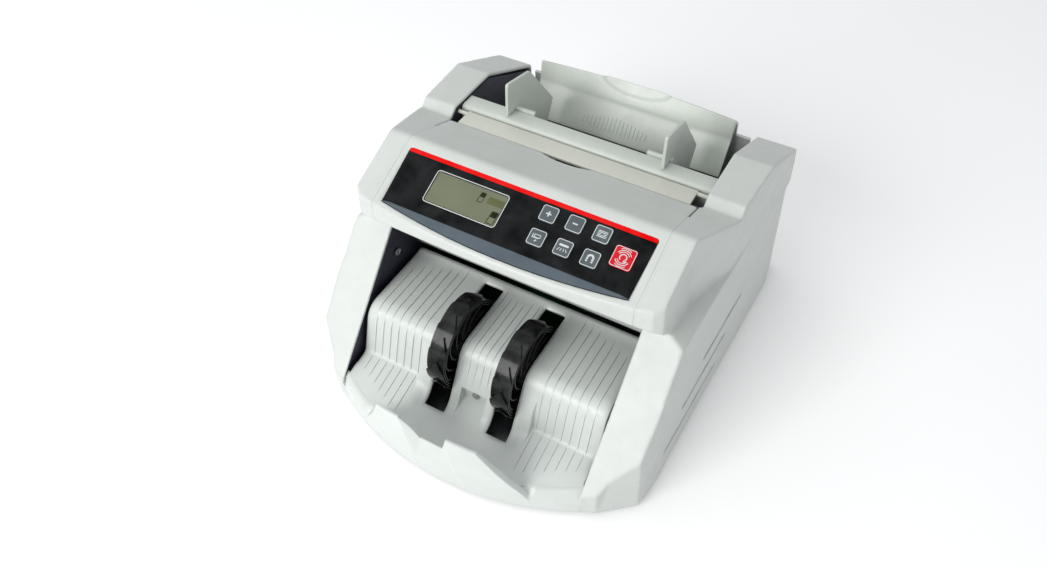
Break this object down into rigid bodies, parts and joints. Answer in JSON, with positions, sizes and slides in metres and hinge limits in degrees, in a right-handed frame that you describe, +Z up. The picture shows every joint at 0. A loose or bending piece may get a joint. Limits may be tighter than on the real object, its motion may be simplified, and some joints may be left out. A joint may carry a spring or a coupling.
{
  "type": "banknote counting machine",
  "caption": "Desktop banknote counter: top-rear hopper with side guides, sloping control panel, and a front stacker tray with finned wheels.",
  "frame": {"origin": "centre of the bounding box in plan, at the level of the feet's undersides", "axes": "+X to the right of a person facing the front, +Y to the rear, +Z up"},
  "size_m": [0.251, 0.3008, 0.1689],
  "materials": {
    "white_plastic": "fine satin texture, moulded",
    "grey_plastic": "semi-gloss moulded",
    "beige_plastic": "satin",
    "navy_steel": "powder-coated sheet steel",
    "black_gloss": "glossy",
    "dark_plastic": "matt",
    "rubber": "matt",
    "steel": "ground steel",
    "film": "printed polyester film with a red upper edge and a slate lower band",
    "display": "olive liquid-crystal display under a clear window",
    "keycap": "satin, pale outline",
    "red_key": "satin, pale outline",
    "board": "solder mask",
    "winding": "varnished winding and core"
  },
  "bodies": {
    "machine": {"side_cover_right": "white_plastic", "side_cover_left": "white_plastic", "front_cover": "white_plastic", "stacker_tray": "white_plastic", "back_cover": "white_plastic", "hopper_floor": "grey_plastic", "hopper_rail": "grey_plastic", "frame_plate_right": "navy_steel", "frame_plate_left": "navy_steel", "power_inlet": "black_gloss", "exit_apron": "dark_plastic", "sensor_bar": "dark_plastic", "main_motor": "dark_plastic", "feed_motor": "dark_plastic", "foot_front_left": "rubber", "foot_front_right": "rubber", "foot_rear_left": "rubber", "foot_rear_right": "rubber", "main_belt": "rubber", "stacker_belt": "rubber", "feed_belt": "rubber", "bottom_plate": "steel", "tie_rod_front": "steel", "tie_rod_rear": "steel", "paper_guide": "steel", "screw_tray": "steel", "screw_plate_right": "steel", "screw_plate_left": "steel", "membrane_film": "film", "display_module": "display", "uv_lamp": "display", "display_board": "board", "main_board": "board", "transformer": "winding"},
    "stacker": {"stacker_shaft": "steel", "stacker_wheel_right": "black_gloss", "stacker_wheel_left": "black_gloss"},
    "exit_roller": {"exit_shaft": "steel"},
    "transport": {"transport_shaft": "steel", "transport_roller_right": "rubber", "transport_roller_left": "rubber"},
    "feed": {"feed_shaft": "steel", "feed_roller_right": "rubber", "feed_roller_left": "rubber"},
    "main_motor_spindle": {"main_motor_pulley": "dark_plastic"},
    "feed_motor_spindle": {"feed_motor_pulley": "dark_plastic"},
    "guide_right": {"bill_guide_right": "grey_plastic"},
    "guide_left": {"bill_guide_left": "grey_plastic"},
    "flap": {"feed_flap": "beige_plastic"},
    "door": {"hopper_plate": "grey_plastic", "rear_door": "white_plastic"},
    "knob": {"gap_knob": "black_gloss"},
    "rocker": {"switch_rocker": "black_gloss"},
    "key_plus_cap": {"key_plus": "keycap"},
    "key_minus_cap": {"key_minus": "keycap"},
    "key_batch_cap": {"key_batch": "keycap"},
    "key_add_cap": {"key_add": "keycap"},
    "key_lamp_check_cap": {"key_lamp_check": "keycap"},
    "key_magnet_check_cap": {"key_magnet_check": "keycap"},
    "key_restart_cap": {"key_restart": "red_key"}
  },
  "joints": [
    {"name": "stacker_turn", "type": "hinge", "parent": "machine", "child": "stacker", "pos_m": [0, -0.07163, 0.0537], "axis": [1, 0, 0], "continuous": true},
    {"name": "exit_turn", "type": "hinge", "parent": "machine", "child": "exit_roller", "pos_m": [0, -0.01713, 0.0695], "axis": [1, 0, 0], "continuous": true},
    {"name": "transport_turn", "type": "hinge", "parent": "machine", "child": "transport", "pos_m": [0, 0.00987, 0.084], "axis": [1, 0, 0], "continuous": true},
    {"name": "feed_turn", "type": "hinge", "parent": "machine", "child": "feed", "pos_m": [0, 0.09387, 0.0915], "axis": [1, 0, 0], "continuous": true},
    {"name": "main_motor_turn", "type": "hinge", "parent": "machine", "child": "main_motor_spindle", "pos_m": [0, 0.03787, 0.04], "axis": [1, 0, 0], "continuous": true},
    {"name": "feed_motor_turn", "type": "hinge", "parent": "machine", "child": "feed_motor_spindle", "pos_m": [0, 0.09387, 0.044], "axis": [1, 0, 0], "continuous": true},
    {"name": "guide_right_slide", "type": "slide", "parent": "machine", "child": "guide_right", "axis": [1, 0, 0], "range_m": [0, 0.028]},
    {"name": "guide_left_slide", "type": "slide", "parent": "machine", "child": "guide_left", "axis": [-1, 0, 0], "range_m": [0, 0.028]},
    {"name": "flap_hinge", "type": "hinge", "parent": "machine", "child": "flap", "pos_m": [0, 0.03947, 0.1409], "axis": [-1, 0, 0], "range_deg": [0, 80]},
    {"name": "door_hinge", "type": "hinge", "parent": "machine", "child": "door", "pos_m": [0, 0.14437, 0.0639], "axis": [-1, 0, 0], "range_deg": [0, 50]},
    {"name": "knob_turn", "type": "hinge", "parent": "door", "child": "knob", "pos_m": [0, 0.14587, 0.096], "axis": [0, 1, 0], "range_deg": [-180, 180]},
    {"name": "rocker_tilt", "type": "hinge", "parent": "machine", "child": "rocker", "pos_m": [-0.02, 0.14487, 0.032], "axis": [-1, 0, 0], "range_deg": [0, 10]},
    {"name": "key_plus_press", "type": "slide", "parent": "machine", "child": "key_plus_cap", "axis": [0, 0.4035, -0.915], "range_m": [0, 0.0006], "stiffness_N_per_m": 800, "springref_m": -0.0005},
    {"name": "key_minus_press", "type": "slide", "parent": "machine", "child": "key_minus_cap", "axis": [0, 0.4035, -0.915], "range_m": [0, 0.0006], "stiffness_N_per_m": 800, "springref_m": -0.0005},
    {"name": "key_batch_press", "type": "slide", "parent": "machine", "child": "key_batch_cap", "axis": [0, 0.4035, -0.915], "range_m": [0, 0.0006], "stiffness_N_per_m": 800, "springref_m": -0.0005},
    {"name": "key_add_press", "type": "slide", "parent": "machine", "child": "key_add_cap", "axis": [0, 0.4035, -0.915], "range_m": [0, 0.0006], "stiffness_N_per_m": 800, "springref_m": -0.0005},
    {"name": "key_lamp_check_press", "type": "slide", "parent": "machine", "child": "key_lamp_check_cap", "axis": [0, 0.4035, -0.915], "range_m": [0, 0.0006], "stiffness_N_per_m": 800, "springref_m": -0.0005},
    {"name": "key_magnet_check_press", "type": "slide", "parent": "machine", "child": "key_magnet_check_cap", "axis": [0, 0.4035, -0.915], "range_m": [0, 0.0006], "stiffness_N_per_m": 800, "springref_m": -0.0005},
    {"name": "key_restart_press", "type": "slide", "parent": "machine", "child": "key_restart_cap", "axis": [0, 0.4035, -0.915], "range_m": [0, 0.0006], "stiffness_N_per_m": 800, "springref_m": -0.0005}
  ],
  "couplings": [
    {"joint": "exit_turn", "follows": "stacker_turn", "ratio": 2},
    {"joint": "main_motor_turn", "follows": "stacker_turn", "ratio": 1.6667},
    {"joint": "feed_motor_turn", "follows": "feed_turn", "ratio": 1.6667}
  ]
}
